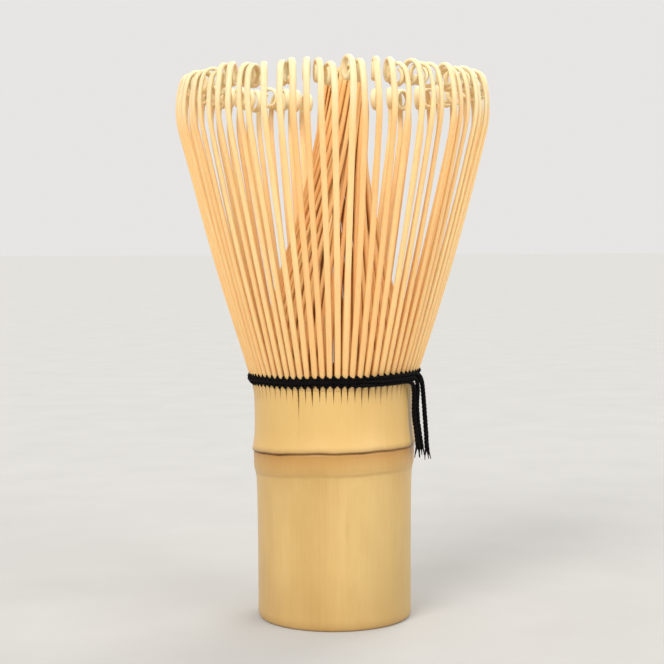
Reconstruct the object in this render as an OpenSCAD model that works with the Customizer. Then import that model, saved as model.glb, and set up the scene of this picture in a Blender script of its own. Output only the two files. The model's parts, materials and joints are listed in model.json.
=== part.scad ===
/* [Culm] */
// Outside radius of the culm at the foot
foot_r = 15.5; // [14:0.1:17]
// Inside radius of the hollow below the node
bore_r = 12.5; // [11:0.1:13]
// Height of the node line, where the handle ends
node_z = 34.5; // [28:0.5:38]
// Outside radius of the swollen rim just above the node line
node_r = 16.6; // [16:0.1:18]
// Round-over at the foot
foot_edge = 0.5; // [0.2:0.1:1]

/* [Split collar] */
// Outside radius at the waist of the collar
waist_r = 16; // [15.5:0.1:16.5]
// Outside radius of the collar just below the binding
collar_r = 16.2; // [16:0.1:16.6]
// Height at which the slits between the fingers begin
slit_z = 43.5; // [41:0.1:44.5]

/* [Outer tines] */
// Number of hinged groups in the outer ring
outer_groups = 18; // [12:1:24]
// Tines in one outer group
outer_per_group = 4; // [3:1:5]
// Angle of the straight stretch from the vertical
splay = 16; // [14:0.1:18]
// How far the straight stretch bows outward at its middle
bow = 0.45; // [0:0.05:1]
// Height at which a tine stops being straight
straight_z = 98.1; // [90:0.1:102]
// Radius of the bend that turns the tine upright and then inward
bend_r = 18; // [10:0.5:20]
// Inward lean at which the curl takes over
curl_lean = 17; // [5:1:25]
// Radius of the curl at its start
curl_r = 2.2; // [2:0.05:3]
// Angle that the curl turns through
curl_turn = 300; // [180:5:310]
// Width of an outer tine
outer_w = 1.1; // [0.8:0.05:1.15]
// Thickness of an outer tine at the binding
outer_root_t = 0.9; // [0.6:0.05:1]
// Thickness of an outer tine at the end of its curl
outer_tip_t = 0.34; // [0.25:0.01:0.5]

/* [Inner tines] */
// Number of hinged groups in the core
inner_groups = 12; // [10:1:14]
// Tines in one inner group
inner_per_group = 6; // [3:3:6]
// Height of the longest inner tips
core_z = 110; // [100:0.5:112]
// Distance that the tip cluster stands off the axis, along +X
core_shift = 2.4; // [0:0.1:3]
// Angle that the inner tines swirl through on the way up
core_swirl = 20; // [0:1:25]
// Radius of the outermost layer of tips
core_tip_r = 3.8; // [3.5:0.1:5]
// Radial step between the three layers of tips
core_layer = 0.95; // [0.8:0.05:1]
// Width of an inner tine at the binding and at its tip
inner_w = [0.72, 0.34];
// Thickness of an inner tine at the binding and at its tip
inner_t = [0.7, 0.28];

/* [Binding] */
// Height of the binding, which is also the height that the tines flex about
bind_z = 49.1; // [46:0.1:52]
// Thickness of one turn of the binding
turn_d = 0.7; // [0.6:0.02:0.8]
// Thickness of the thread woven between the two rings of tines
weave_d = 0.6; // [0.4:0.02:0.64]
// Diameter of the knot
knot_d = 1.6; // [1.2:0.1:2]
// Diameter of a loose end of the thread
tail_d = 0.7; // [0.3:0.05:0.7]

/* [Hidden] */
outer_ring_r = 16.55;
inner_ring_r = 14.3;
finger_top_z = 48.3;
tine_foot_z = 48.45;
finger_split_r = 15.2;
groove_w = 1;
finger_gap = 0.05;
finger_flare = 0.4;
groove_z = 46.9;
waist_z = node_z + 5.8;
collar_r_at_slit = waist_r + (collar_r - waist_r) * (slit_z - waist_z) / (groove_z - waist_z);
knee_lean = splay - atan(4 * bow * cos(splay) / (straight_z - tine_foot_z));
septum_z = 31.5;
septum_t = 2.2;
collar_bore_r = 13;
shaved_r = 13.9;
outer_pitch = 360 / (outer_groups * outer_per_group);
inner_pitch = 360 / (inner_groups * inner_per_group);
bow_steps = 4;
bend_steps = 5;
curl_steps = 14;
curl_tighten = 0.12;
core_steps = 9;
core_sway = 0.15;
tip_drop = 1;
running_gap = 0.12;
band_pitch = 0.9;
tail_sides = 8;

// Routes of the three loose ends: [distance from the axis, azimuth, height]. Each lies along the
// outside of the binding, passes under the knot and hangs down beside the collar.
long_tail_route = [
    [18.3, -68, 49.95], [18.3, -63, 49.96], [18.3, -58, 49.98], [18.3, -53, 50.01], [18.3, -48, 50.04],
    [18.3, -43, 50.07], [18.3, -38, 50.11], [18.3, -33, 50.15], [18.35, -28, 50.1],
    [18.4, -23.5, 49.85], [18.4, -19.5, 49.2], [18.4, -16.5, 48.25], [18.45, -14.5, 47.05],
    [18.5, -13.5, 45.75], [18.6, -13, 44.35], [18.7, -13, 42.95], [18.8, -13, 41.55],
    [18.9, -13, 40.15], [19, -13, 38.75], [19.1, -13, 37.35], [19.15, -13, 35.95], [19.25, -13, 34.55],
    [19.4, -13, 33.3], [19.55, -13, 32.45]
];
middle_tail_route = [
    [18.4, -71, 49.2], [18.4, -66, 49.21], [18.4, -61, 49.23], [18.4, -56, 49.26], [18.4, -51, 49.29],
    [18.4, -46, 49.32], [18.4, -41, 49.36], [18.4, -36, 49.4], [18.4, -31, 49.35], [18.2, -26.5, 49],
    [18.05, -23, 48.25], [17.9, -20.5, 47.1], [17.75, -19, 45.8], [17.6, -18.5, 44.4], [17.55, -18, 43],
    [17.6, -17.5, 41.6], [17.7, -17.5, 40.2], [17.9, -17.5, 38.8], [18.1, -17.5, 37.4],
    [18.3, -17.5, 36], [18.45, -17.5, 34.7], [18.6, -17.5, 33.4]
];
short_tail_route = [
    [18.1, -79, 48.45], [18.1, -74, 48.46], [18.1, -69, 48.48], [18.1, -64, 48.5], [18.1, -59, 48.52],
    [18.1, -54, 48.55], [18.1, -49, 48.58], [18.1, -44, 48.61], [18.1, -39, 48.65], [18.1, -34, 48.5],
    [18.05, -30, 48.05], [17.8, -27, 47.2], [17.6, -24.5, 46], [17.4, -23, 44.6], [17.3, -22, 43.2],
    [17.25, -21.5, 41.8], [17.35, -21, 40.4], [17.5, -20.5, 39], [17.7, -20.5, 37.6], [17.9, -21, 36.2],
    [18.1, -21.5, 34.75], [18.25, -22, 33.1]
];
knot_at = [18.3, -21.5, 48.95];

// Point at distance p[0] from the axis, azimuth p[1] and height p[2]
function polar(p) = [p[0] * cos(p[1]), p[0] * sin(p[1]), p[2]];

// Direction of a path at point i, from its neighbours
function along(path, i) =
    let (d = path[min(len(path) - 1, i + 1)] - path[max(0, i - 1)]) d / norm(d);

// Outline of a flat strip that follows a plane path, its thickness running from t[0] to t[1]
function strip(path, t) =
    let (
        last = len(path) - 1,
        half = [for (i = [0:last]) (t[0] + (t[1] - t[0]) * i / last) / 2],
        side = [for (i = [0:last]) let (d = along(path, i)) [d[1], -d[0]]]
    )
    concat(
        [for (i = [0:last]) path[i] + half[i] * side[i]],
        [for (i = [last:-1:0]) path[i] - half[i] * side[i]]
    );

// Point on an arc that turns a rising path inward, where the path leans outward by lean
function arc_point(centre, r, lean) = centre + r * [cos(lean), -sin(lean)];

// Centre line of an outer tine, as [distance from the axis, height]
function outer_path() =
    let (
        rise = straight_z - bind_z,
        knee = [outer_ring_r + rise * tan(splay), straight_z],
        foot = [outer_ring_r - (bind_z - tine_foot_z) * tan(splay), tine_foot_z],
        bend_at = knee + bend_r * [-cos(knee_lean), sin(knee_lean)],
        neck = arc_point(bend_at, bend_r, -curl_lean),
        curl_at = neck + curl_r * [-cos(curl_lean), -sin(curl_lean)]
    )
    concat(
        [for (i = [0:bow_steps - 1])
            let (t = i / bow_steps)
            foot + (knee - foot) * t + 4 * bow * t * (1 - t) * [cos(splay), -sin(splay)]],
        [for (i = [0:bend_steps])
            arc_point(bend_at, bend_r, knee_lean - (knee_lean + curl_lean) * i / bend_steps)],
        [for (i = [1:curl_steps])
            let (share = i / curl_steps)
            arc_point(curl_at, curl_r * (1 - curl_tighten * share), -curl_lean - curl_turn * share)]
    );

// Where the tip of inner tine i stands, as [x, y, z]; neighbours end in different layers
function inner_tip(azimuth, layer) =
    let (r = core_tip_r - core_layer * layer, a = azimuth + core_swirl)
    [core_shift + r * cos(a), r * sin(a), core_z - tip_drop * layer];

// Share of the way inward that an inner tine has covered at share t of its height
function inward(t) = t - core_sway * sin(360 * t);

// Rings of a round tube round a path, then its closed skin
function ring(path, i, r, sides) =
    let (
        d = along(path, i),
        across = cross(d, [0.3, -0.2, 0.1]),
        u = across / norm(across),
        v = cross(d, u)
    )
    [for (k = [0:sides - 1]) path[i] + r * (u * cos(360 * k / sides) + v * sin(360 * k / sides))];

module tube(path, d, sides) {
    last = len(path) - 1;
    points = [for (i = [0:last]) each ring(path, i, d / 2, sides)];
    walls = [
        for (i = [0:last - 1], k = [0:sides - 1])
            let (n = (k + 1) % sides)
            [i * sides + k, (i + 1) * sides + k, (i + 1) * sides + n, i * sides + n]
    ];
    start = [for (k = [0:sides - 1]) k];
    end = [for (k = [sides - 1:-1:0]) last * sides + k];
    polyhedron(points, concat(walls, [start, end]), convexity = 4);
}

// Upright plate: an outline in [distance, height] with its width across the radius
module plate(outline, width) {
    rotate([90, 0, 0])
        linear_extrude(width, center = true)
            polygon(outline);
}

// Culm from the foot to the node line, hollow from below
module culm_handle() {
    ridge_r = 16.25;
    color("tan")
        rotate_extrude($fn = 96)
            polygon([
                [bore_r, 0],
                [foot_r - foot_edge, 0],
                [foot_r, foot_edge],
                [foot_r + 0.1, 21],
                [foot_r + 0.3, 27.5],
                [ridge_r, node_z - 4],
                [ridge_r - 0.1, node_z - 2],
                [ridge_r + 0.1, node_z],
                [bore_r, node_z]
            ]);
}

// Wall that closes the culm at its node, dished on top
module node_diaphragm() {
    color("burlywood")
        rotate_extrude($fn = 96)
            polygon([
                [0, septum_z],
                [bore_r, septum_z],
                [bore_r, septum_z + septum_t],
                [bore_r - 1, septum_z + septum_t],
                [bore_r / 2, septum_z + septum_t - 0.7],
                [0, septum_z + septum_t - 0.9]
            ]);
}

// Culm above the node line, up to where it is split
module tine_root_collar() {
    color("wheat")
        rotate_extrude($fn = 96)
            polygon([
                [collar_bore_r, node_z],
                [node_r, node_z],
                [node_r - 0.4, node_z + 1.2],
                [waist_r, waist_z],
                [collar_r_at_slit, slit_z],
                [shaved_r, slit_z],
                [collar_bore_r, slit_z - 3]
            ]);
}

// Blade with an upright side outline whose width runs from w[0] at height z[0] to w[1] at z[1]
module tapered_plate(outline, w, z) {
    reach = max([for (p = outline) p[0]]) + 1;
    intersection() {
        plate(outline, w[0] + 1);
        translate([-2, 0, 0])
            rotate([90, 0, 90])
                linear_extrude(reach + 2)
                    polygon([[-w[0] / 2, z[0]], [w[0] / 2, z[0]], [w[1] / 2, z[1]], [-w[1] / 2, z[1]]]);
    }
}

// Outer half of the split wall: one finger under each outer tine, with a V slit on each side
module outer_fingers() {
    r = finger_split_r + finger_gap;
    full_w = 2 * r * sin(outer_pitch / 2) - 0.02;
    outline = [
        [r, slit_z],
        [collar_r_at_slit, slit_z],
        [collar_r, groove_z],
        [collar_r + finger_flare, finger_top_z],
        [finger_split_r + groove_w / 2, finger_top_z],
        [finger_split_r + groove_w / 2, groove_z],
        [r, groove_z]
    ];
    color("wheat")
        for (i = [0:outer_groups * outer_per_group - 1])
            rotate([0, 0, (i + 0.5) * outer_pitch])
                tapered_plate(outline, [full_w, outer_w], [slit_z, finger_top_z]);
}

// Inner half of the split wall: one finger under each inner tine
module inner_fingers() {
    r = finger_split_r - finger_gap;
    full_w = 2 * shaved_r * sin(inner_pitch / 2) - 0.04;
    outline = [
        [shaved_r + 0.02, slit_z],
        [r, slit_z],
        [r, groove_z],
        [finger_split_r - groove_w / 2, groove_z],
        [finger_split_r - groove_w / 2, finger_top_z],
        [shaved_r + 0.02, finger_top_z]
    ];
    color("burlywood")
        for (i = [0:inner_groups * inner_per_group - 1])
            rotate([0, 0, (i + 0.5) * inner_pitch])
                tapered_plate(outline, [full_w, inner_w[0]], [slit_z, finger_top_z]);
}

// One hinged group of the outer ring
module outer_tines(group) {
    middle = (outer_per_group - 1) / 2;
    outline = strip(outer_path(), [outer_root_t, outer_tip_t]);
    color("navajowhite")
        for (i = [0:outer_per_group - 1])
            rotate([0, 0, group * 360 / outer_groups + (i - middle) * outer_pitch])
                plate(outline, outer_w);
}

// One inner tine: a side outline and a narrowing width cut from each other
module inner_tine(azimuth, layer) {
    foot = polar([inner_ring_r, azimuth, tine_foot_z]);
    step = inner_tip(azimuth, layer) - foot;
    reach = norm([step[0], step[1]]);
    path = [for (i = [0:core_steps]) let (t = i / core_steps) [reach * inward(t), step[2] * t]];
    translate(foot)
        rotate([0, 0, atan2(step[1], step[0])])
            tapered_plate(strip(path, inner_t), inner_w, [-1, step[2] + 1]);
}

// One hinged group of the core
module inner_tines(group) {
    middle = (inner_per_group - 1) / 2;
    color("sandybrown")
        for (i = [0:inner_per_group - 1])
            inner_tine(group * 360 / inner_groups + (i - middle) * inner_pitch, i % 3);
}

// One round turn of thread about the axis
module turn_of_thread(r, z, d) {
    rotate_extrude($fn = 96)
        translate([r, z])
            circle(d = d, $fn = 32);
}

// Radius at which a turn at height z lies just clear of the outer tines
function turn_r(z) =
    outer_ring_r + (z - bind_z) * tan(splay) + outer_root_t / 2 / cos(splay) + running_gap + turn_d / 2;

module binding_lower_turn() {
    z = bind_z - band_pitch / 2;
    color("black")
        turn_of_thread(turn_r(z), z, turn_d);
}

module binding_upper_turn() {
    z = bind_z + band_pitch / 2;
    color("black")
        turn_of_thread(turn_r(z), z, turn_d);
}

// Thread that keeps the outer and inner rings of tines apart
module binding_weave() {
    color("black")
        turn_of_thread(finger_split_r + 0.15, bind_z, weave_d);
}

module binding_knot() {
    color("black")
        translate(polar(knot_at))
            sphere(d = knot_d, $fn = 48);
}

module thread_end(route) {
    color("black")
        tube([for (p = route) polar(p)], tail_d, tail_sides);
}

culm_handle();
node_diaphragm();
tine_root_collar();
outer_fingers();
inner_fingers();
outer_tines(0);  // outer_tines_01
outer_tines(1);  // outer_tines_02
outer_tines(2);  // outer_tines_03
outer_tines(3);  // outer_tines_04
outer_tines(4);  // outer_tines_05
outer_tines(5);  // outer_tines_06
outer_tines(6);  // outer_tines_07
outer_tines(7);  // outer_tines_08
outer_tines(8);  // outer_tines_09
outer_tines(9);  // outer_tines_10
outer_tines(10);  // outer_tines_11
outer_tines(11);  // outer_tines_12
outer_tines(12);  // outer_tines_13
outer_tines(13);  // outer_tines_14
outer_tines(14);  // outer_tines_15
outer_tines(15);  // outer_tines_16
outer_tines(16);  // outer_tines_17
outer_tines(17);  // outer_tines_18
inner_tines(0);  // inner_tines_01
inner_tines(1);  // inner_tines_02
inner_tines(2);  // inner_tines_03
inner_tines(3);  // inner_tines_04
inner_tines(4);  // inner_tines_05
inner_tines(5);  // inner_tines_06
inner_tines(6);  // inner_tines_07
inner_tines(7);  // inner_tines_08
inner_tines(8);  // inner_tines_09
inner_tines(9);  // inner_tines_10
inner_tines(10);  // inner_tines_11
inner_tines(11);  // inner_tines_12
binding_lower_turn();
binding_upper_turn();
binding_weave();
binding_knot();
thread_end(long_tail_route);  // thread_end_long
thread_end(middle_tail_route);  // thread_end_middle
thread_end(short_tail_route);  // thread_end_short
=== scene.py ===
"""Bamboo tea whisk: the looks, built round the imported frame.

Lengths in this script are millimetres until a mesh is made, where MM turns them into metres. The camera and
the materials are in metres, apart from the attributes that a material's own comment explains. The culm
stands on z = 0 with its axis on +Z. Azimuths are in degrees: 0 is +X, the side on which the thread's loose
ends hang, and -90 faces the camera.
"""

import json
import math
import random

import bpy
import numpy as np
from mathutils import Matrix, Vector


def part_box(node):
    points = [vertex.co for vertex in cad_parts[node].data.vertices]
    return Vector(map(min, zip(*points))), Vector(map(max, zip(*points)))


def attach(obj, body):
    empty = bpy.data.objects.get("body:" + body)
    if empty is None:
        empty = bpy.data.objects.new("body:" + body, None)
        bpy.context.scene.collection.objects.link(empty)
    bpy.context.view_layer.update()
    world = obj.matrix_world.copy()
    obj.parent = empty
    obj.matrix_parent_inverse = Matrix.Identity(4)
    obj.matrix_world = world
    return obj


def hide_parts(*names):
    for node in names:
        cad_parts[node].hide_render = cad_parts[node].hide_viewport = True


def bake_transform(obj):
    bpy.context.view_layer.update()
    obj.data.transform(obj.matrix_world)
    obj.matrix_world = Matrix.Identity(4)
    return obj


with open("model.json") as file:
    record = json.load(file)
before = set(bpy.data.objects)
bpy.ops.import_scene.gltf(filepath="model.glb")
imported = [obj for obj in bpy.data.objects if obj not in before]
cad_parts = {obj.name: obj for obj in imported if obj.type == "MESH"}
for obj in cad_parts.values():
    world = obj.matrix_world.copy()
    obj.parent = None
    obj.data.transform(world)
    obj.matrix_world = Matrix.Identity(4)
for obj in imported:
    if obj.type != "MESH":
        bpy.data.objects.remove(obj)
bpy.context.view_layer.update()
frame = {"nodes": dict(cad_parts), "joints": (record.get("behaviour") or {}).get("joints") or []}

MM = 0.001
UP = np.array([0.0, 0.0, 1.0])

# ---- Sizes, read from the frame where it holds them -------------------------------------------------------

JOINTS = {j["name"]: j for j in frame["joints"]}
OUTER_NODES = sorted(n for n in frame["nodes"] if n.startswith("outer_tines_"))
INNER_NODES = sorted(n for n in frame["nodes"] if n.startswith("inner_tines_"))


def flex_joint(kind, index):
    return JOINTS[f"{kind}_flex_{index + 1:02d}"]


def joint_radius(joint):
    return math.hypot(*joint["pos_m"][:2]) / MM


BIND_Z = flex_joint("outer", 0)["pos_m"][2] / MM
OUTER_R = joint_radius(flex_joint("outer", 0))
INNER_R = joint_radius(flex_joint("inner", 0))
TOP_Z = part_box("outer_tines_01")[1].z / MM
NODE_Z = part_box("culm_handle")[1].z / MM
FINGER_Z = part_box("outer_fingers")[1].z / MM
RIM_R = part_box("tine_root_collar")[1].x / MM
SEPTUM = [corner.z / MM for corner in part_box("node_diaphragm")]
BORE_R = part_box("node_diaphragm")[1].x / MM

# ---- Sizes of the looks' own ------------------------------------------------------------------------------

OUTER_PER_GROUP = 4
INNER_PER_GROUP = 6
OUTER_COUNT = OUTER_PER_GROUP * len(OUTER_NODES)
INNER_COUNT = INNER_PER_GROUP * len(INNER_NODES)
OUTER_PITCH = 360 / OUTER_COUNT
INNER_PITCH = 360 / INNER_COUNT
FOOT_Z = FINGER_Z - 0.9  # where the tines start, inside their fingers

# Outer tines
SPLAY = 16.0  # outward lean of the straight part
BOW = 0.45  # how far the straight part bows
STRAIGHT_Z = 98.2  # where the straight part ends and the bend upright starts
BEND_R = 18.0
CURL_LEAN = 17.0  # inward lean where the curl starts
CURL_R = 2.2
CURL_IN = 0.88  # the curl's width as a share of its height
OPEN_CURL = (312, 0.14, 1.0)  # its turn, how much it tightens, and its share of CURL_R
TIGHT_CURL = (405, 0.42, 1.06)
RING_TWIST = 0.8  # sideways drift that all the outer tines' tops share
ROLL_FROM = 0.86  # share of the way to the neck at which a tine's own roll starts
OUTER_SEED = 22397  # with it, the front tines' tops fall about where the photo's do

# Inner tines
CORE_SHIFT = np.array([2.6, 0.2, 0.0])  # the tips gather off the axis
CORE_SWIRL = 52  # how far round the axis a tip is from its foot
CORE_TIP_R = 3.9
CORE_LAYER = 0.9  # how much further in the tips of each next layer are
HOOK_R = 1.7
HOOK_TURN = 215  # the hook at a tip, in degrees
INNER_LAYERS = 3
INNER_SEED = 5000

# Culm
NODE_SPAN = 40  # height that a culm material's first attribute value covers, half of it below the node line
FOOT_STAIN_Z = 2.2  # height of the stain at the foot
SLIT_SEED = 72
SLIT_DEPTH = 4.4  # how far below the binding the slits reach
CRACKS = ((-117, 8.3), (-70, 5.9))  # azimuth and depth below the binding of the slits that run on as cracks
FINGER_INNER_R = 15.6
INNER_FINGER_OUTER_R = 15.15
COLLAR_BORE_R = 13.0
SHAVED_BY = 0.9  # how much wider the hollow is shaved at the inner tines' roots
INNER_SPLIT_DEPTH = 5.4  # how far below the binding the inner fingers part

# Thread
END_D = 0.7
LAID_LENGTH = 13.0  # how much of a loose end lies on the binding
YARN_D = 0.6
LAID_YARN_D = 0.8
KNOT_YARN_D = 0.52
KNOT_UNITS = 6.6
BETWEEN_RINGS_R = 15.35
PLIES = 3
PLY_SIDES = 7
PLY_SHARE = 0.27  # of the yarn's diameter: a ply's radius, and its distance from the yarn's middle
FRAY_SPREAD = 0.5


def srgb(r, g, b):
    """A colour given as 0 to 255 display values, as the linear values that shaders take."""
    def linear(v):
        v /= 255
        return v / 12.92 if v <= 0.04045 else ((v + 0.055) / 1.055) ** 2.4
    return (linear(r), linear(g), linear(b), 1.0)


def polar(r, azimuth, z):
    a = math.radians(azimuth)
    return np.array([r * math.cos(a), r * math.sin(a), z])


def smoothstep(t):
    t = np.clip(t, 0, 1)
    return t * t * (3 - 2 * t)


def spread(draw, reach):
    """An even draw from -reach to reach."""
    return reach * draw.uniform(-1, 1)


def bell(draw, low, high):
    """A normal draw, held between low and high."""
    return max(low, min(high, draw.gauss(0, 1)))


# ---- Camera ----------------------------------------------------------------------------------------------


def make_camera():
    """Level with the tines, 0.3 m away, tipped down a little so that the foot's ring shows its curve."""
    data = bpy.data.cameras.new("camera")
    data.lens = 80
    data.clip_start = 0.01
    camera = bpy.data.objects.new("camera", data)
    camera.location = (-0.0002, -0.300, 0.0742)
    camera.rotation_euler = (math.radians(90 - 3.1), math.radians(0.26), 0)
    bpy.context.scene.collection.objects.link(camera)
    bpy.context.scene.camera = camera


# ---- Mesh helpers ----------------------------------------------------------------------------------------


class Build:
    """Collects vertices, faces and per-vertex values for one piece."""

    def __init__(self):
        self.points, self.faces, self.slots, self.values = [], [], [], {}
        self.count = 0

    def add(self, points, faces, slots=None, **values):
        """slots hold each face's place among the materials; values hold a vector for each point."""
        self.points.append(np.asarray(points, float))
        self.faces += [tuple(i + self.count for i in face) for face in faces]
        self.slots += slots or [0] * len(faces)
        for name, value in values.items():
            self.values.setdefault(name, []).append(np.asarray(value, float))
        self.count += len(points)

    def piece(self, name, materials, slot_name):
        mesh = bpy.data.meshes.new(name)
        mesh.from_pydata((np.concatenate(self.points) * MM).tolist(), [], self.faces)
        for material in materials:
            mesh.materials.append(material)
        mesh.polygons.foreach_set("material_index", self.slots)
        mesh.polygons.foreach_set("use_smooth", [True] * len(self.faces))
        for key, parts in self.values.items():
            layer = mesh.attributes.new(key, "FLOAT_VECTOR", "POINT")
            layer.data.foreach_set("vector", np.concatenate(parts).astype(np.float32).ravel())
        mesh.validate()
        mesh.update()
        obj = bpy.data.objects.new(name, mesh)
        bpy.context.scene.collection.objects.link(obj)
        return obj


def skin_faces(rings, sides, capped=True):
    """Quads between rings of points, with a cap at each end if capped."""
    faces = []
    for i in range(rings - 1):
        for k in range(sides):
            n = (k + 1) % sides
            faces.append((i * sides + k, i * sides + n, (i + 1) * sides + n, (i + 1) * sides + k))
    if capped:
        faces.append(tuple(range(sides - 1, -1, -1)))
        faces.append(tuple(range((rings - 1) * sides, rings * sides)))
    return faces


def tangents(path):
    d = np.gradient(path, axis=0)
    return d / np.linalg.norm(d, axis=1, keepdims=True)


def round_frames(path):
    """Two directions square to the path at each point, carried along it without twist."""
    t = tangents(path)
    side = np.cross(t[0], UP if abs(t[0][2]) < 0.9 else np.array([1.0, 0, 0]))
    sides = []
    for d in t:
        side = side - d * side.dot(d)
        side = side / np.linalg.norm(side)
        sides.append(side)
    sides = np.array(sides)
    return sides, np.cross(t, sides)


def add_ply(build, path, radius, closed_ring, grain):
    """A round tube. radius and grain have a value for each point of the path."""
    u, v = round_frames(path)
    turn = np.arange(PLY_SIDES) * 2 * np.pi / PLY_SIDES
    circle = u[:, None] * np.cos(turn)[None, :, None] + v[:, None] * np.sin(turn)[None, :, None]
    points = path[:, None] + radius[:, None, None] * circle
    faces = skin_faces(len(path), PLY_SIDES, not closed_ring)
    if closed_ring:
        last = (len(path) - 1) * PLY_SIDES
        faces += [(last + k, last + (k + 1) % PLY_SIDES, (k + 1) % PLY_SIDES, k) for k in range(PLY_SIDES)]
    build.add(points.reshape(-1, 3), faces, grain=grain.repeat(PLY_SIDES, 0))


def lengths(path):
    step = np.linalg.norm(np.diff(path, axis=0), axis=1)
    return np.concatenate([[0], np.cumsum(step)])


def smooth_path(points):
    """A Catmull-Rom curve through the points, with four steps between two."""
    p = np.asarray(points, float)
    p = np.vstack([2 * p[0] - p[1], p, 2 * p[-1] - p[-2]])
    out = []
    for i in range(1, len(p) - 2):
        for t in (0, 0.25, 0.5, 0.75):
            a = 2 * p[i]
            b = p[i + 1] - p[i - 1]
            c = 2 * p[i - 1] - 5 * p[i] + 4 * p[i + 1] - p[i + 2]
            d = -p[i - 1] + 3 * p[i] - 3 * p[i + 1] + p[i + 2]
            out.append((a + b * t + c * t * t + d * t ** 3) / 2)
    out.append(p[-2])
    return np.array(out)


def add_yarn(build, path, diameter, twist, seed, fray=0.0, closed_ring=False):
    """A plied yarn: plies wound round the path, one turn in twist millimetres, starting at the angle seed.
    diameter is one value or one for each point. With fray, the plies part over the last fray millimetres."""
    u, v = round_frames(path)
    s = lengths(path)
    total = s[-1]
    diameter = np.broadcast_to(np.asarray(diameter, float), (len(path),))
    turns = np.minimum(s, total - 0.8 * fray) / twist
    if closed_ring:
        turns = s * (round(total / twist) / total)
    loose = smoothstep((s - (total - fray)) / fray) if fray else np.zeros(len(s))
    for k in range(PLIES):
        angle = 2 * np.pi * (turns + k / PLIES) + seed
        reach = diameter * PLY_SHARE + loose * FRAY_SPREAD * (0.6 + 0.5 * math.sin(seed + 2.1 * k))
        line = path + reach[:, None] * (u * np.cos(angle)[:, None] + v * np.sin(angle)[:, None])
        radius = diameter * PLY_SHARE * (1 - 0.7 * loose)
        add_ply(build, line, radius, closed_ring, np.column_stack([s, s * 0 + k, s * 0 + seed]))


# ---- Materials -------------------------------------------------------------------------------------------


class Nodes:
    """A material under construction."""

    def __init__(self, name, roughness, **sockets):
        self.material = bpy.data.materials.new(name)
        self.material.use_nodes = True
        self.tree = self.material.node_tree
        self.shader = self.tree.nodes["Principled BSDF"]
        self.shader.inputs["Roughness"].default_value = roughness
        for key, value in sockets.items():
            self.shader.inputs[key.replace("_", " ")].default_value = value

    def node(self, kind, **settings):
        n = self.tree.nodes.new(kind)
        for key, value in settings.items():
            setattr(n, key, value)
        return n

    def link(self, out, into):
        self.tree.links.new(out, into)

    def object_coords(self, scale):
        coords = self.node("ShaderNodeTexCoord")
        mapping = self.node("ShaderNodeMapping")
        mapping.inputs["Scale"].default_value = scale
        self.link(coords.outputs["Object"], mapping.inputs["Vector"])
        return mapping.outputs["Vector"]

    def attribute(self, name, scale=None):
        source = self.node("ShaderNodeAttribute", attribute_name=name)
        if scale is None:
            return source.outputs["Vector"]
        mapping = self.node("ShaderNodeMapping")
        mapping.inputs["Scale"].default_value = scale
        self.link(source.outputs["Vector"], mapping.inputs["Vector"])
        return mapping.outputs["Vector"]

    def part(self, vector, index):
        split = self.node("ShaderNodeSeparateXYZ")
        self.link(vector, split.inputs["Vector"])
        return split.outputs[index]

    def noise(self, vector, scale, detail=3.0, rough=0.55):
        n = self.node("ShaderNodeTexNoise")
        n.inputs["Scale"].default_value = scale
        n.inputs["Detail"].default_value = detail
        n.inputs["Roughness"].default_value = rough
        self.link(vector, n.inputs["Vector"])
        return n.outputs["Fac"]

    def voronoi(self, vector, scale):
        n = self.node("ShaderNodeTexVoronoi")
        n.inputs["Scale"].default_value = scale
        self.link(vector, n.inputs["Vector"])
        return n.outputs["Distance"]

    def ramp(self, value, stops):
        n = self.node("ShaderNodeValToRGB")
        band = n.color_ramp
        while len(band.elements) > 1:
            band.elements.remove(band.elements[-1])
        band.elements[0].position, band.elements[0].color = stops[0]
        for position, colour in stops[1:]:
            band.elements.new(position).color = colour
        self.link(value, n.inputs["Fac"])
        return n.outputs["Color"]

    def profile(self, value, stops):
        """A number by value, through (value, number) stops."""
        return self.ramp(value, [(position, (number, number, number, 1)) for position, number in stops])

    def levels(self, value, low, high, to_low=0.0, to_high=1.0):
        n = self.node("ShaderNodeMapRange")
        for key, number in (("From Min", low), ("From Max", high), ("To Min", to_low), ("To Max", to_high)):
            n.inputs[key].default_value = number
        self.link(value, n.inputs["Value"])
        return n.outputs["Result"]

    def mix(self, share, a, b):
        n = self.node("ShaderNodeMix", data_type="RGBA")
        colour_a, colour_b = [i for i in n.inputs if i.type == "RGBA"]
        for socket, value in ((n.inputs[0], share), (colour_a, a), (colour_b, b)):
            if isinstance(value, (int, float, tuple)):
                socket.default_value = value
            else:
                self.link(value, socket)
        return [o for o in n.outputs if o.type == "RGBA"][0]

    def multiply(self, a, b):
        n = self.node("ShaderNodeMath", operation="MULTIPLY")
        for socket, value in zip(n.inputs, (a, b)):
            if isinstance(value, (int, float)):
                socket.default_value = value
            else:
                self.link(value, socket)
        return n.outputs["Value"]

    def bump(self, height, distance, strength, under=None):
        n = self.node("ShaderNodeBump")
        n.inputs["Distance"].default_value = distance
        n.inputs["Strength"].default_value = strength
        self.link(height, n.inputs["Height"])
        if under is not None:
            self.link(under, n.inputs["Normal"])
        return n.outputs["Normal"]

    def finish(self, colour, roughness=None, normal=None):
        self.link(colour, self.shader.inputs["Base Color"])
        if roughness is not None:
            self.link(roughness, self.shader.inputs["Roughness"])
        if normal is not None:
            self.link(normal, self.shader.inputs["Normal"])
        return self.material


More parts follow.
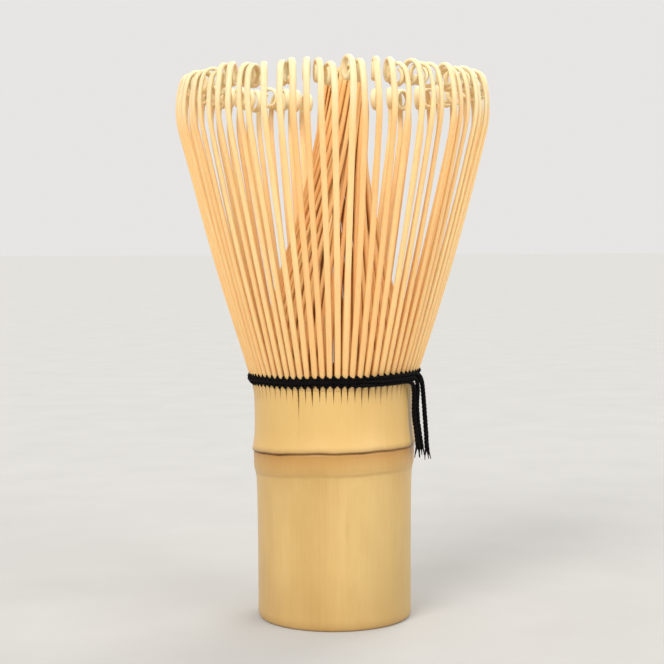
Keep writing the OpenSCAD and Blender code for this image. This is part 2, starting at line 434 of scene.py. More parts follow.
def culm_skin():
    """Dried culm skin: long fine fibres, cloudy tan patches, warmer and darker by the node. Attribute place
    is (0.5 plus the height above the node line in NODE_SPANs, nearness to the foot, 0)."""
    m = Nodes("bamboo_culm_skin", 0.42, Coat_Weight=0.12, Coat_Roughness=0.25)
    fibre = m.noise(m.object_coords((1, 1, 0.02)), 4200, 4, 0.65)
    streak = m.noise(m.object_coords((1, 1, 0.035)), 900, 3, 0.6)
    cloud = m.noise(m.object_coords((1, 1, 0.5)), 75, 3, 0.5)
    stain = m.noise(m.object_coords((1, 1, 0.25)), 260, 4, 0.6)
    place = m.attribute("place")
    by_node, foot = m.part(place, 0), m.part(place, 1)
    base = m.ramp(cloud, [
        (0.30, srgb(188, 152, 88)), (0.48, srgb(198, 162, 98)), (0.62, srgb(205, 172, 108)),
        (0.78, srgb(194, 160, 94))])
    base = m.mix(m.levels(stain, 0.62, 0.78, 0.0, 0.35), base, srgb(180, 142, 80))
    base = m.mix(m.levels(streak, 0.35, 0.70, 0.0, 0.22), base, srgb(212, 180, 120))
    base = m.mix(m.levels(fibre, 0.50, 0.72, 0.0, 0.20), base, srgb(168, 128, 72))
    collar = m.profile(by_node, [(0.502, 0), (0.53, 1)])
    base = m.mix(m.multiply(collar, 0.60), base, srgb(216, 176, 104))
    line = m.profile(by_node, [(0.470, 0), (0.489, 0.35), (0.4955, 1), (0.5045, 1), (0.510, 0.35), (0.53, 0)])
    broken = m.levels(m.noise(m.object_coords((1, 1, 1)), 160, 3), 0.25, 0.6, 0.45, 1.0)
    base = m.mix(m.multiply(line, broken), base, srgb(112, 70, 28))
    warm = m.profile(by_node, [(0.375, 0), (0.400, 0.30), (0.46, 0.8), (0.49, 1), (0.50, 0)])
    base = m.mix(m.multiply(warm, 0.76), base, srgb(178, 126, 56))
    ring = m.profile(by_node, [(0.380, 0), (0.3875, 1), (0.3915, 1), (0.402, 0)])
    ring = m.multiply(ring, m.levels(cloud, 0.35, 0.65, 0.10, 0.34))
    base = m.mix(ring, base, srgb(150, 112, 60))
    spot = m.object_coords((1, 1, 1))
    right, height = m.part(spot, 0), m.part(spot, 2)
    # Painted reflection and shade: the lower right of the handle is darkened towards olive, standing in for
    # green light thrown onto it from something nearby.
    painted_green_reflection = m.multiply(m.levels(right, 0.001, 0.013), m.levels(height, 0.029, 0.010))
    base = m.mix(m.multiply(painted_green_reflection, 0.48), base, srgb(166, 138, 80))
    base = m.mix(m.levels(height, 0.012, 0.001, 0.0, 0.26), base, srgb(170, 132, 76))
    base = m.mix(m.levels(foot, 0.0, 1.0, 0.0, 0.35), base, srgb(160, 118, 62))
    grain = m.bump(fibre, 0.00004, 0.6)
    normal = m.bump(streak, 0.00012, 0.5, grain)
    rough = m.levels(cloud, 0.3, 0.8, 0.34, 0.52)
    return m.finish(base, rough, normal)


def cut_bamboo():
    """Sawn or split bamboo: pale pith with the dark dots of its vessels."""
    m = Nodes("bamboo_cut", 0.75)
    dots = m.voronoi(m.object_coords((1, 1, 0.12)), 1700)
    cloud = m.noise(m.object_coords((1, 1, 0.3)), 400, 3)
    base = m.ramp(cloud, [(0.3, srgb(200, 158, 100)), (0.7, srgb(222, 184, 126))])
    base = m.mix(m.levels(dots, 0.16, 0.34, 0.75, 0.0), base, srgb(128, 84, 42))
    return m.finish(base, None, m.bump(dots, 0.00008, 0.5))


def inner_culm():
    """The papery lining of the hollow."""
    m = Nodes("bamboo_lining", 0.8)
    cloud = m.noise(m.object_coords((1, 1, 0.15)), 500, 4)
    fine = m.noise(m.object_coords((1, 1, 0.4)), 3000, 3)
    base = m.ramp(cloud, [
        (0.3, srgb(188, 146, 92)), (0.55, srgb(216, 180, 126)), (0.75, srgb(230, 200, 150))])
    return m.finish(base, None, m.bump(fine, 0.00006, 0.6))


def tine_bamboo(name, low, middle, high, tip, deep, tip_from):
    """Shaved bamboo: low to tip are its colours from the binding up, which turn pale above the share tip_from
    of the height, and deep is the colour of the darkest tines. Attribute grain is (across, through, along) in
    millimetres; look is (tone, share of the height, 0)."""
    m = Nodes(name, 0.45, Subsurface_Weight=0.30, Subsurface_Scale=0.0014)
    m.shader.inputs["Subsurface Radius"].default_value = (1.0, 0.45, 0.18)
    look = m.attribute("look")
    tone, height = m.part(look, 0), m.part(look, 1)
    base = m.ramp(height, [
        (0.0, low), (0.45, middle), (tip_from, middle), (0.90, high), (0.96, high), (1.0, tip)])
    faded = m.levels(height, tip_from, tip_from + 0.16, 1.0, 0.12)
    base = m.mix(m.multiply(m.levels(tone, 0.0, 1.0, 0.0, 0.8), faded), base, deep)
    fibre = m.noise(m.attribute("grain", (9.0, 9.0, 0.22)), 1.0, 4, 0.65)
    patch = m.noise(m.attribute("grain", (0.5, 0.5, 0.16)), 1.0, 3, 0.5)
    base = m.mix(m.levels(patch, 0.45, 0.75, 0.0, 0.30), base, srgb(238, 180, 116))
    base = m.mix(m.levels(fibre, 0.52, 0.75, 0.0, 0.42), base, srgb(218, 158, 94))
    base = m.mix(m.levels(fibre, 0.45, 0.25, 0.0, 0.25), base, srgb(255, 240, 200))
    rough = m.levels(fibre, 0.3, 0.7, 0.38, 0.56)
    return m.finish(base, rough, m.bump(fibre, 0.00006, 0.55))


def black_thread():
    """Black cotton: matt, hairy, a little greyer where it is worn."""
    m = Nodes("black_thread", 0.92, Sheen_Weight=0.02, Sheen_Roughness=0.5)
    m.shader.inputs["Specular IOR Level"].default_value = 0.06
    hair = m.noise(m.attribute("grain", (9.0, 3.0, 1.0)), 1.0, 3, 0.7)
    cloud = m.noise(m.object_coords((1, 1, 1)), 900, 3)
    base = m.ramp(hair, [(0.3, srgb(6, 5, 6)), (0.6, srgb(14, 12, 13)), (0.8, srgb(34, 29, 28))])
    base = m.mix(m.levels(cloud, 0.5, 0.8, 0.0, 0.2), base, srgb(42, 36, 34))
    return m.finish(base, None, m.bump(hair, 0.00008, 0.8))


# ---- Binding heights that several pieces share ------------------------------------------------------------


def bind_height(azimuth):
    """The binding sits a little higher on the side of its knot."""
    right = math.cos(math.radians(azimuth))
    waver = 0.07 * math.sin(math.radians(azimuth * 7 + 40))
    return BIND_Z + 0.32 * right + 0.28 * max(0.0, right) ** 6 + waver


def node_height(azimuth):
    """The node line wanders: lower on the left, highest at the front and right."""
    a = math.radians(azimuth)
    tilt = 0.45 * math.cos(a) + 0.3 * max(0.0, math.cos(a)) ** 2 - 0.55 * math.sin(a)
    return (NODE_Z + tilt + 0.10 * math.sin(3 * a + 0.6) + 0.06 * math.sin(7 * a + 2.0)
            + 0.035 * math.sin(17 * a))


def slit_azimuth(index):
    """Slits lie between tines, each a little off its even place."""
    return index * OUTER_PITCH + SLIT_SHIFT[index % OUTER_COUNT]


# Each slit's shift and half width in degrees, and the height that it reaches down to.
slit_draw = random.Random(SLIT_SEED)
SLIT_SHIFT = [spread(slit_draw, 0.32) for _ in range(OUTER_COUNT)]
SLIT_HALF = [math.degrees((0.30 + spread(slit_draw, 0.07)) / RIM_R) for _ in range(OUTER_COUNT)]
SLIT_BASE = [BIND_Z - SLIT_DEPTH - 1.2 * slit_draw.uniform(-1, 1) ** 3 for _ in range(OUTER_COUNT)]
for crack_azimuth, crack_depth in CRACKS:
    SLIT_BASE[round((crack_azimuth % 360) / OUTER_PITCH)] = BIND_Z - crack_depth


# ---- Thread ----------------------------------------------------------------------------------------------

# The loose ends' routes: [distance from the axis, azimuth, height], as the part lays them.
LONG_END = [
    [18.3, -68, 49.95], [18.3, -63, 49.96], [18.3, -58, 49.98], [18.3, -53, 50.01], [18.3, -48, 50.04],
    [18.3, -43, 50.07], [18.3, -38, 50.11], [18.3, -33, 50.15], [18.35, -28, 50.1],
    [18.4, -23.5, 49.85], [18.4, -19.5, 49.2], [18.4, -16.5, 48.25], [18.45, -14.5, 47.05],
    [18.5, -13.5, 45.75], [18.6, -13, 44.35], [18.7, -13, 42.95], [18.8, -13, 41.55],
    [18.9, -13, 40.15], [19, -13, 38.75], [19.1, -13, 37.35], [19.15, -13, 35.95], [19.25, -13, 34.55],
    [19.4, -13, 33.3], [19.55, -13, 32.45]]
MIDDLE_END = [
    [18.4, -71, 49.2], [18.4, -66, 49.21], [18.4, -61, 49.23], [18.4, -56, 49.26], [18.4, -51, 49.29],
    [18.4, -46, 49.32], [18.4, -41, 49.36], [18.4, -36, 49.4], [18.4, -31, 49.35], [18.2, -26.5, 49],
    [18.05, -23, 48.25], [17.9, -20.5, 47.1], [17.75, -19, 45.8], [17.6, -18.5, 44.4], [17.55, -18, 43],
    [17.6, -17.5, 41.6], [17.7, -17.5, 40.2], [17.9, -17.5, 38.8], [18.1, -17.5, 37.4],
    [18.3, -17.5, 36], [18.45, -17.5, 34.7], [18.6, -17.5, 33.4]]
SHORT_END = [
    [18.1, -79, 48.45], [18.1, -74, 48.46], [18.1, -69, 48.48], [18.1, -64, 48.5], [18.1, -59, 48.52],
    [18.1, -54, 48.55], [18.1, -49, 48.58], [18.1, -44, 48.61], [18.1, -39, 48.65], [18.1, -34, 48.5],
    [18.05, -30, 48.05], [17.8, -27, 47.2], [17.6, -24.5, 46], [17.4, -23, 44.6], [17.3, -22, 43.2],
    [17.25, -21.5, 41.8], [17.35, -21, 40.4], [17.5, -20.5, 39], [17.7, -20.5, 37.6], [17.9, -21, 36.2],
    [18.1, -21.5, 34.75], [18.25, -22, 33.1]]


def make_thread_end(name, route, thread, seed):
    """One loose end: laid along the binding, then limp down beside the collar, its plies parting."""
    path = smooth_path([polar(*p) for p in route])
    build = Build()
    s = lengths(path)
    tucked = 0.35 + 0.65 * smoothstep(s / 2.5)
    width = END_D * tucked * (1.05 + 0.35 * smoothstep((s - LAID_LENGTH) / 5))
    add_yarn(build, path, width, twist=2.4, seed=seed, fray=2.4)
    piece = build.piece(f"loose_{name}", [thread], "black_thread")
    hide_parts(name)
    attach(piece, "root")


def face_r(z):
    """Distance from the axis to the outer tines' skin, near the binding: half a tine's thickness past its
    middle."""
    return OUTER_R + 0.45 + (z - BIND_Z) * math.tan(math.radians(SPLAY))


def make_turn(name, node, height, slant, thread):
    """One row of the binding: two yarns twined round the outer tines, each passing outside every other tine
    and dipping in between them, up or down as slant's sign says."""
    build = Build()
    azimuths = np.arange(0, 360, OUTER_PITCH / 10)
    for strand in range(2):
        path = []
        for azimuth in azimuths:
            index = azimuth / OUTER_PITCH
            phase = math.pi * (index - 0.5 + strand)
            between = math.sin(phase) ** 2
            z = bind_height(azimuth) + height + slant * (0.42 * between ** 3 - 0.14 * math.sin(phase))
            r = face_r(z) - 0.14 + 0.34 * math.cos(phase) - 0.10 * between
            path.append(polar(r, azimuth, z))
        add_yarn(build, np.array(path), YARN_D, twist=1.6, seed=strand * 2.3 + height, closed_ring=True)
    piece = build.piece(name, [thread], "black_thread")
    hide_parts(node)
    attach(piece, "root")


def make_weave(thread):
    """The yarn between the two rings of tines, and the one laid round the outside between the twined rows."""
    build = Build()
    azimuths = np.arange(0, 360, 1)
    in_out = 0.10 * np.cos(np.radians(azimuths * 36))
    inside = [polar(BETWEEN_RINGS_R + swing, azimuth, bind_height(azimuth))
              for swing, azimuth in zip(in_out, azimuths)]
    outside = [polar(face_r(BIND_Z) + 0.12, azimuth, bind_height(azimuth)) for azimuth in azimuths]
    add_yarn(build, np.array(inside), YARN_D, twist=1.5, seed=1.0, closed_ring=True)
    add_yarn(build, np.array(outside), LAID_YARN_D, twist=1.3, seed=1.7, closed_ring=True)
    piece = build.piece("woven_turn", [thread], "black_thread")
    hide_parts("binding_weave")
    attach(piece, "root")


def make_knot(thread):
    """A small tight trefoil knot that the loose ends come out of. It is 5.1 units high before its yarn is
    thickened, and KNOT_UNITS leaves room for the yarn."""
    low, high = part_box("binding_knot")
    centre = np.array((low + high) / 2) / MM
    size = (high.z - low.z) / MM / KNOT_UNITS
    out = centre * np.array([1, 1, 0])
    out = out / np.linalg.norm(out)
    side = np.cross(UP, out)
    t = np.linspace(0, 2 * np.pi, 120, endpoint=False)
    curve = [np.sin(t) + 2 * np.sin(2 * t), np.cos(t) - 2 * np.cos(2 * t), -np.sin(3 * t)]
    path = centre + size * (curve[0][:, None] * side + curve[1][:, None] * UP + 1.1 * curve[2][:, None] * out)
    build = Build()
    add_yarn(build, path, KNOT_YARN_D, twist=1.3, seed=4.0, closed_ring=True)
    piece = build.piece("knot", [thread], "black_thread")
    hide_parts("binding_knot")
    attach(piece, "root")


# ---- Culm ------------------------------------------------------------------------------------------------


def outline(points):
    """Radius by height on a smooth curve through [radius, height] points."""
    radii, heights = np.array(points, float).T
    slopes = np.gradient(radii, heights)

    def radius(z):
        i = int(np.clip(np.searchsorted(heights, z) - 1, 0, len(heights) - 2))
        span = heights[i + 1] - heights[i]
        t = min(1.0, max(0.0, (z - heights[i]) / span))
        return float((1 + 2 * t) * (1 - t) ** 2 * radii[i] + t * (1 - t) ** 2 * span * slopes[i]
                     + t * t * (3 - 2 * t) * radii[i + 1] + t * t * (t - 1) * span * slopes[i + 1])
    return radius


# Heights above the node line
COLLAR_OUTLINE = outline([
    [16.22, 0], [16.5, 0.12], [16.57, 0.4], [16.5, 1.0], [16.3, 2.2], [16.13, 3.8], [16.07, 6.0], [16.1, 9.0],
    [16.17, 11.5], [16.3, 12.6], [16.62, 14.0], [16.75, 15.3]])
HANDLE_OUTLINE = outline([
    [15.3, -34.8], [15.5, -34.0], [15.56, -31], [15.58, -20], [15.65, -11.8], [15.77, -6.3], [15.86, -5.0],
    [16.04, -4.2], [16.24, -3.4], [16.28, -2.3], [16.33, -0.8], [16.35, -0.1], [16.3, 1.5]])


def culm_wobble(azimuth, z):
    """The culm isn't quite round, and its skin has shallow flutes."""
    a = math.radians(azimuth)
    return (0.07 * math.cos(2 * a + 0.5) + 0.03 * math.cos(3 * a + z * 0.02)
            + 0.008 * math.sin(23 * a + z * 0.03) + 0.006 * math.sin(41 * a + 1.0))


def add_shell(build, azimuths, top, bottom, outer, inner, shares, slots):
    """A ring wall between two outlines. top and bottom give heights by azimuth; outer and inner give radii by
    azimuth and height. shares say where the rows are, as shares of the height. slots are the material places
    of the outside, the two ends and the inside."""
    n, rows = len(azimuths), len(shares)
    rings, place, faces, face_slots = [], [], [], []

    def add_ring(r_of, share):
        for azimuth in azimuths:
            low, high = bottom(azimuth), top(azimuth)
            z = low + (high - low) * share
            rings.append(polar(r_of(azimuth, z), azimuth, z))
            from_node = z - node_height(azimuth)
            near_foot = float(smoothstep((FOOT_STAIN_Z - z) / FOOT_STAIN_Z))
            place.append([0.5 + from_node / NODE_SPAN, near_foot, 0.0])

    for share in shares:
        add_ring(outer, share)
    for share in shares[::-1]:
        add_ring(inner, share)
    count = 2 * rows
    parts = [range(0, rows - 1), [rows - 1], range(rows, count - 1), [count - 1]]
    for spans, slot in zip(parts, (slots[0], slots[1], slots[2], slots[1])):
        for i in spans:
            j = (i + 1) % count
            for k in range(n):
                m = (k + 1) % n
                faces.append((i * n + k, i * n + m, j * n + m, j * n + k))
        face_slots += [slot] * (len(spans) * n)
    build.add(rings, faces, face_slots, place=place)


def make_handle(skin, cut, lining):
    """Culm from the sawn foot to the node line."""
    def outer(azimuth, z):
        edge = 0.35 * max(0.0, 1 - z / 0.45) ** 2
        line = z - node_height(azimuth)
        groove = 0.26 * math.exp(-((line + 0.06) / 0.17) ** 2) + 0.035 * math.exp(-((line + 4.4) / 0.22) ** 2)
        return HANDLE_OUTLINE(line * NODE_Z / node_height(azimuth)) + culm_wobble(azimuth, z) - edge - groove

    def inner(azimuth, z):
        a = math.radians(azimuth)
        return BORE_R + 0.05 * math.sin(5 * a + z * 0.1) + 0.04 * math.sin(11 * a - z * 0.06)

    # The rows are closer together at the foot's rounded edge and at the groove under the node line.
    azimuths = np.arange(0, 360, 1.0)
    near_foot = np.array([0, 0.003, 0.007, 0.012, 0.02])
    near_node = 1 - np.array([0.03, 0.022, 0.016, 0.012, 0.008, 0.005, 0.0025, 0])
    shares = np.concatenate([near_foot, np.linspace(0.035, 0.96, 44), near_node])
    build = Build()
    add_shell(build, azimuths, node_height, lambda azimuth: 0.0, outer, inner, shares, (0, 1, 2))
    piece = build.piece("handle", [skin, cut, lining], "bamboo_culm")
    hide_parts("culm_handle")
    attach(piece, "root")


def collar_r(azimuth, z):
    """The collar's skin, with the swollen rim that overhangs the node line."""
    return COLLAR_OUTLINE(z - node_height(azimuth)) + culm_wobble(azimuth, z)


def finger_top(azimuth):
    return bind_height(azimuth) - 0.55


def notched_top(azimuth):
    """The wall's top edge: full height under a tine, down to the slit's base between two."""
    index = round(azimuth / OUTER_PITCH)
    off = abs(azimuth - slit_azimuth(index))
    half = SLIT_HALF[index % OUTER_COUNT]
    high = finger_top(azimuth)
    if off >= half:
        return high
    base = SLIT_BASE[index % OUTER_COUNT]
    return base + (high - base) * (off / half) ** 0.75


def make_collar(skin, cut, lining):
    """The culm above the node line: an outer wall notched between the outer tines, and the inner wall that
    the inner tines are split from."""
    steps = []
    for i in range(OUTER_COUNT):
        a, half = slit_azimuth(i), SLIT_HALF[i]
        after = slit_azimuth(i + 1)
        gap = after - SLIT_HALF[(i + 1) % OUTER_COUNT] - a - half
        steps += [a - half, a - 0.55 * half, a - 0.2 * half, a, a + 0.2 * half, a + 0.55 * half, a + half]
        steps += [a + half + gap * share for share in (0.06, 0.3, 0.5, 0.7, 0.94)]
    build = Build()
    shares = np.concatenate([[0, 0.012, 0.025, 0.04, 0.06, 0.085], np.linspace(0.11, 1, 34)])
    add_shell(build, np.array(steps), notched_top, node_height, collar_r,
              lambda azimuth, z: FINGER_INNER_R, shares, (0, 1, 2))
    split_z = BIND_Z - INNER_SPLIT_DEPTH

    def inner_top(azimuth):
        off = abs(azimuth - slit_azimuth(round(azimuth / OUTER_PITCH)))
        return split_z + (finger_top(azimuth) - split_z) * float(smoothstep(1 - (off - 0.5) / 0.8))

    def hollow(azimuth, z):
        return COLLAR_BORE_R + SHAVED_BY * float(smoothstep((z - BIND_Z + 8.6) / 3.0))

    def inner_wall(azimuth, z):
        return INNER_FINGER_OUTER_R - 0.35 * float(smoothstep((z - BIND_Z + 3.4) / 2.0))

    add_shell(build, np.arange(0, 360, 0.5), inner_top, node_height, inner_wall, hollow,
              np.linspace(0, 1, 20), (1, 1, 2))
    piece = build.piece("split_collar", [skin, cut, lining], "bamboo_culm")
    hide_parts("tine_root_collar", "outer_fingers", "inner_fingers")
    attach(piece, "root")


def make_diaphragm(lining):
    """The node wall inside the culm, dished, with the faint rings it grows in."""
    low, high = SEPTUM
    build = Build()
    radii = np.linspace(BORE_R + 0.15, 0.25, 26)
    sides = 72
    turn = np.arange(sides) * 2 * np.pi / sides

    def surface(rim_z, sink):
        for r in radii:
            ripple = 0.10 * math.sin(r * 2.4) * (r / BORE_R)
            z = rim_z - sink * (1 - (r / BORE_R) ** 2) + ripple
            yield np.column_stack([r * np.cos(turn), r * np.sin(turn), np.full(len(turn), z)])

    rings = list(surface(low, -0.7))[::-1] + list(surface(high, 0.9))
    build.add(np.concatenate(rings), skin_faces(len(rings), sides))
    piece = build.piece("node_wall", [lining], "bamboo_culm")
    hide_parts("node_diaphragm")
    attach(piece, "root")


# ---- Tines -----------------------------------------------------------------------------------------------


def strip_section(width, thick):
    """Outline of a tine's section: a rectangle with eased corners and a slightly proud skin side.
    First number across, second through, outward positive."""
    w, t = width / 2, thick / 2
    ease = min(0.16 * width, 0.35 * thick)
    return np.array([
        [-w, -t + ease], [-w + ease, -t], [w - ease, -t], [w, -t + ease],
        [w, t - ease], [w - ease, t], [0.0, t + 0.12 * thick], [-w + ease, t], [-w, t - ease]])


def add_strip(build, path, across, widths, thicks, tone, seed):
    """A flat strip along the path. across is the direction of its width at each point. tone picks its colour,
    from 0 to 1, and seed its grain."""
    t = tangents(path)
    across = across - t * np.sum(across * t, axis=1, keepdims=True)
    across = across / np.linalg.norm(across, axis=1, keepdims=True)
    through = np.cross(t, across)
    s = lengths(path)
    height_share = (path[:, 2] - BIND_Z) / (TOP_Z - BIND_Z)
    rings, grain, look = [], [], []
    for i, p in enumerate(path):
        section = strip_section(widths[i], thicks[i])
        rings.append(p + section[:, :1] * across[i] + section[:, 1:] * through[i])
        grain.append(np.column_stack([section + seed * 7.3, np.full(len(section), s[i] + seed * 31.7)]))
        look.append(np.full((len(section), 3), [tone, height_share[i], 0.0]))
    build.add(np.concatenate(rings), skin_faces(len(path), len(section)), grain=np.concatenate(grain),
              look=np.concatenate(look))


def turned(vectors, angles):
    """Vectors turned about the vertical by angles, one for each, in radians."""
    x, y, z = vectors.T
    c, s = np.cos(angles), np.sin(angles)
    return np.column_stack([x * c - y * s, x * s + y * c, z])


def outer_line(splay, straight_z, lean, curl_r, curl_turn, tighten, bow):
    """An outer tine's centre line in its own upright plane: distance from the axis, 0, height. It rises
    inside its collar finger, leans out past the binding, bows, bends upright and inward, and curls. The
    second value is the index of the neck, where the curl starts."""
    slope = math.tan(math.radians(splay))
    knee = np.array([OUTER_R + (straight_z - BIND_Z) * slope, straight_z])
    start = np.array([OUTER_R + 1.3 * slope, BIND_Z + 1.3])
    outward = np.array([math.cos(math.radians(splay)), -math.sin(math.radians(splay))])
    knee_lean = splay - math.degrees(4 * bow / np.linalg.norm(knee - start))
    foot = [np.array([collar_r(0, z) - 0.44, z]) for z in (FOOT_Z, FOOT_Z + 0.5, FOOT_Z + 1.0)]
    straight = [start + (knee - start) * t + 4 * bow * t * (1 - t) * outward
                for t in np.linspace(0, 1, 15)[:-1]]

    def on_arc(centre, r, angle):
        a = math.radians(angle)
        return centre + r * np.array([math.cos(a), -math.sin(a)])

    a, b = math.radians(knee_lean), math.radians(lean)
    bend_at = knee + BEND_R * np.array([-math.cos(a), math.sin(a)])
    bend = [on_arc(bend_at, BEND_R, knee_lean - (knee_lean + lean) * t) for t in np.linspace(0, 1, 9)]
    inward = np.array([-math.cos(b), -math.sin(b)])
    upward = np.array([-math.sin(b), math.cos(b)])
    curl = []
    for t in np.linspace(0, 1, 33)[1:]:
        angle, size = math.radians(curl_turn * t), curl_r * (1 - tighten * t)
        middle = curl_r * CURL_IN * inward
        curl.append(bend[-1] + middle - size * CURL_IN * math.cos(angle) * inward
                    + size * math.sin(angle) * upward)
    line = np.array(foot + straight + bend + curl)
    neck = len(foot) + len(straight) + len(bend) - 1
    return np.column_stack([line[:, 0], np.zeros(len(line)), line[:, 1]]), neck


def outer_tine(build, index, draw):
    """One tine of the outer ring. Each leans, bends, curls and drifts sideways a little in its own way."""
    left = slit_azimuth(index) + SLIT_HALF[index % OUTER_COUNT]
    right = slit_azimuth(index + 1) - SLIT_HALF[(index + 1) % OUTER_COUNT]
    azimuth = (left + right) / 2
    foot_w = math.radians(right - left) * OUTER_R
    splay = SPLAY + 0.25 * bell(draw, -2.0, 1.6)
    straight_z = STRAIGHT_Z + spread(draw, 0.3)
    lean = CURL_LEAN + spread(draw, 1.5)
    curl_r = CURL_R * (1 + spread(draw, 0.06))
    bow = BOW + spread(draw, 0.2)
    is_tight = draw.random() < 0.5 - 0.3 * math.cos(math.radians(azimuth))
    curl_turn, tighten, curl_share = TIGHT_CURL if is_tight else OPEN_CURL
    curl_turn += spread(draw, 24)
    line, neck = outer_line(splay, straight_z, lean, curl_r * curl_share, curl_turn, tighten, bow)
    s = lengths(line)
    share = s / s[neck]
    up = np.clip((share - 0.05) / 0.95, 0, 1.15)
    line[:, 1] += (0.45 * bell(draw, -1.7, 1.7) - RING_TWIST) * up ** 1.6
    line[:, 1] += spread(draw, 0.2) * np.sin(np.pi * np.clip(up, 0, 1))
    roll = math.radians(3 + 13 * draw.gauss(0, 1)) * smoothstep((share - ROLL_FROM) / 0.16)
    pivot = line[neck].copy()
    late = share > ROLL_FROM
    line[late] = pivot + turned(line[late] - pivot, roll[late])
    across = turned(np.tile([0.0, -1.0, 0.0], (len(line), 1)), roll)
    # As wide as its finger at the foot, and widest where the curl starts
    widths = np.interp(share, [0, 0.03, 0.055, 0.12, 0.6, 0.95, 1.15, 1.45],
                       [foot_w, foot_w, 1.08, 1.14, 1.12, 1.22, 1.26, 1.1])
    widths[share > 0.04] *= 1 + spread(draw, 0.06)
    thicks = np.interp(share, [0, 0.03, 0.06, 0.2, 0.7, 0.95, 1.1, 1.45],
                       [0.7, 0.74, 0.84, 0.76, 0.58, 0.60, 0.68, 0.56])
    turn = np.full(len(line), math.radians(azimuth))
    add_strip(build, turned(line, turn), turned(across, turn), widths, thicks, draw.random() ** 1.5, index)


def inner_tine(build, azimuth, layer, index, draw):
    """One tine of the core: upright at first, then in towards the gathered tips, where it hooks over. A tine
    of a higher layer stands further in and lower."""
    azimuth += spread(draw, 0.8)
    swirl = CORE_SWIRL + spread(draw, 12)
    tip_r = CORE_TIP_R - CORE_LAYER * layer + spread(draw, 0.4)
    foot = polar(INNER_R, azimuth, FOOT_Z)
    neck_z = TOP_Z - 0.1 - 1.0 * layer - 3.2 * draw.random() ** 2
    tip = polar(tip_r, azimuth + swirl, neck_z)
    t = np.linspace(0, 1, 26)
    inward = t - 0.02 * np.sin(np.pi * t) - 0.085 * np.sin(2 * np.pi * t)
    path = foot + (tip - foot) * np.column_stack([inward, inward, t])
    radial = path * [1, 1, 0]
    radial = radial / np.linalg.norm(radial, axis=1, keepdims=True)
    across = np.cross(radial, UP)
    path += np.sin(np.pi * t)[:, None] * across * spread(draw, 0.35) + CORE_SHIFT * (t * t)[:, None]
    roll = math.radians(38 * bell(draw, -1.6, 1.6))
    across = turned(across, roll * smoothstep((t - 0.72) / 0.28))
    facing = turned(radial[-1:], np.array([roll]))[0]
    hook_r = HOOK_R - 0.25 * layer + spread(draw, 0.35)
    hook_turn = math.radians(HOOK_TURN + spread(draw, 60))
    a = np.linspace(0, hook_turn, 16)[1:]
    hook = path[-1] + hook_r * ((np.cos(a) - 1)[:, None] * facing + 1.15 * np.sin(a)[:, None] * UP)
    path = np.vstack([path, hook])
    across = np.vstack([across, np.tile(across[-1], (len(hook), 1))])
    s = lengths(path)
    share = s / s[-1]
    widths = np.interp(share, [0, 0.1, 0.5, 0.85, 1], [0.94, 0.88, 0.72, 1.02, 1.0])
    widths *= 1 + spread(draw, 0.08)
    thicks = np.interp(share, [0, 0.2, 0.7, 0.88, 1], [0.72, 0.90, 0.80, 0.50, 0.42])
    add_strip(build, path, across, widths, thicks, draw.random(), 100 + index)


def make_tines(nodes, material, slot_name, add):
    """One piece for each hinged group of tines, with its transform baked into its points."""
    for group, node in enumerate(nodes):
        build = Build()
        add(build, group)
        piece = build.piece(f"bending_{node}", [material], slot_name)
        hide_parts(node)
        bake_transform(piece)


def add_outer_group(build, group):
    first = group * OUTER_PER_GROUP - OUTER_PER_GROUP // 2
    for i in range(OUTER_PER_GROUP):
        index = (first + i) % OUTER_COUNT
        outer_tine(build, index, random.Random(OUTER_SEED + index))


def add_inner_group(build, group):
    middle = (INNER_PER_GROUP - 1) / 2
    for i in range(INNER_PER_GROUP):
        azimuth = group * 360 / len(INNER_NODES) + (i - middle) * INNER_PITCH
        index = group * INNER_PER_GROUP + i
        inner_tine(build, azimuth, i % INNER_LAYERS, index, random.Random(INNER_SEED + index))


# ---- Stage -----------------------------------------------------------------------------------------------


def make_floor():
    mesh = bpy.data.meshes.new("floor")
    size = 40.0  # metres, so that its far edge lies near the horizon
    corners = [(-size, -size, 0), (size, -size, 0), (size, size, 0), (-size, size, 0)]
    mesh.from_pydata(corners, [], [(0, 1, 2, 3)])
    floor = bpy.data.objects.new("floor", mesh)
    bpy.context.scene.collection.objects.link(floor)
    m = Nodes("floor_paint", 1.0)
    m.shader.inputs["Specular IOR Level"].default_value = 0.0
    cloud = m.noise(m.object_coords((1, 1, 1)), 40, 2)
    mesh.materials.append(m.finish(m.ramp(cloud, [(0.3, srgb(187, 187, 186)), (0.7, srgb(191, 191, 190))])))


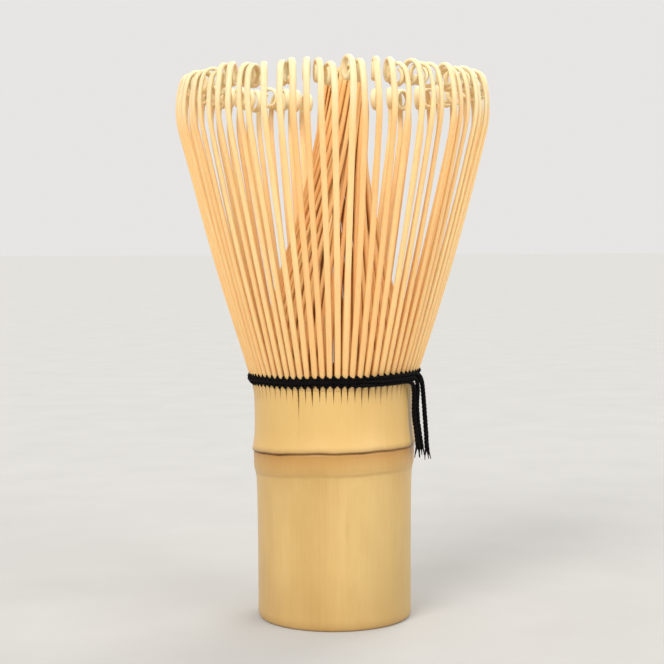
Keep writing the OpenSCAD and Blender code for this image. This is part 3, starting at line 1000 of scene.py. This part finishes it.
def make_light(name, towards, power, softness, colour):
    """A distant soft light, so that the floor is as bright far off as it is near. towards points at it."""
    data = bpy.data.lights.new(name, "SUN")
    data.energy = power
    data.angle = math.radians(softness)
    data.color = colour
    light = bpy.data.objects.new(name, data)
    bpy.context.scene.collection.objects.link(light)
    flat = math.hypot(towards[0], towards[1])
    light.rotation_euler = (math.atan2(flat, towards[2]), 0, math.atan2(towards[1], towards[0]) + math.pi / 2)


def make_stage():
    make_floor()
    world = bpy.data.worlds.new("studio")
    world.use_nodes = True
    background = world.node_tree.nodes["Background"]
    background.inputs["Color"].default_value = (1.0, 0.985, 0.965, 1)
    background.inputs["Strength"].default_value = 0.80
    bpy.context.scene.world = world
    bpy.context.scene.view_settings.view_transform = "Standard"
    make_light("key", (-0.38, -0.68, 0.58), 1.85, 30, (1.0, 0.96, 0.90))
    make_light("back", (0.35, 0.70, 0.60), 1.2, 40, (1.0, 0.97, 0.92))
    make_light("fill", (0.75, -0.55, 0.40), 1.1, 50, (1.0, 1.0, 0.98))


# ---- The whole whisk -------------------------------------------------------------------------------------


def main():
    make_camera()
    thread = black_thread()
    make_thread_end("thread_end_long", LONG_END, thread, 0.4)
    make_thread_end("thread_end_middle", MIDDLE_END, thread, 1.5)
    make_thread_end("thread_end_short", SHORT_END, thread, 2.9)
    make_turn("twined_row_lower", "binding_lower_turn", -0.50, -1, thread)
    make_turn("twined_row_upper", "binding_upper_turn", 0.50, 1, thread)
    make_weave(thread)
    make_knot(thread)

    skin, cut, lining = culm_skin(), cut_bamboo(), inner_culm()
    make_handle(skin, cut, lining)
    make_collar(skin, cut, lining)
    make_diaphragm(lining)

    straw = tine_bamboo("bamboo_outer_tine", srgb(236, 192, 126), srgb(246, 212, 152), srgb(232, 219, 176),
                        srgb(234, 225, 190), srgb(236, 186, 120), 0.80)
    warm = tine_bamboo("bamboo_inner_tine", srgb(232, 184, 116), srgb(233, 186, 121), srgb(235, 182, 110),
                       srgb(236, 207, 148), srgb(228, 163, 93), 0.84)
    make_tines(OUTER_NODES, straw, "bamboo_outer_tines", add_outer_group)
    make_tines(INNER_NODES, warm, "bamboo_inner_tines", add_inner_group)
    make_stage()


main()
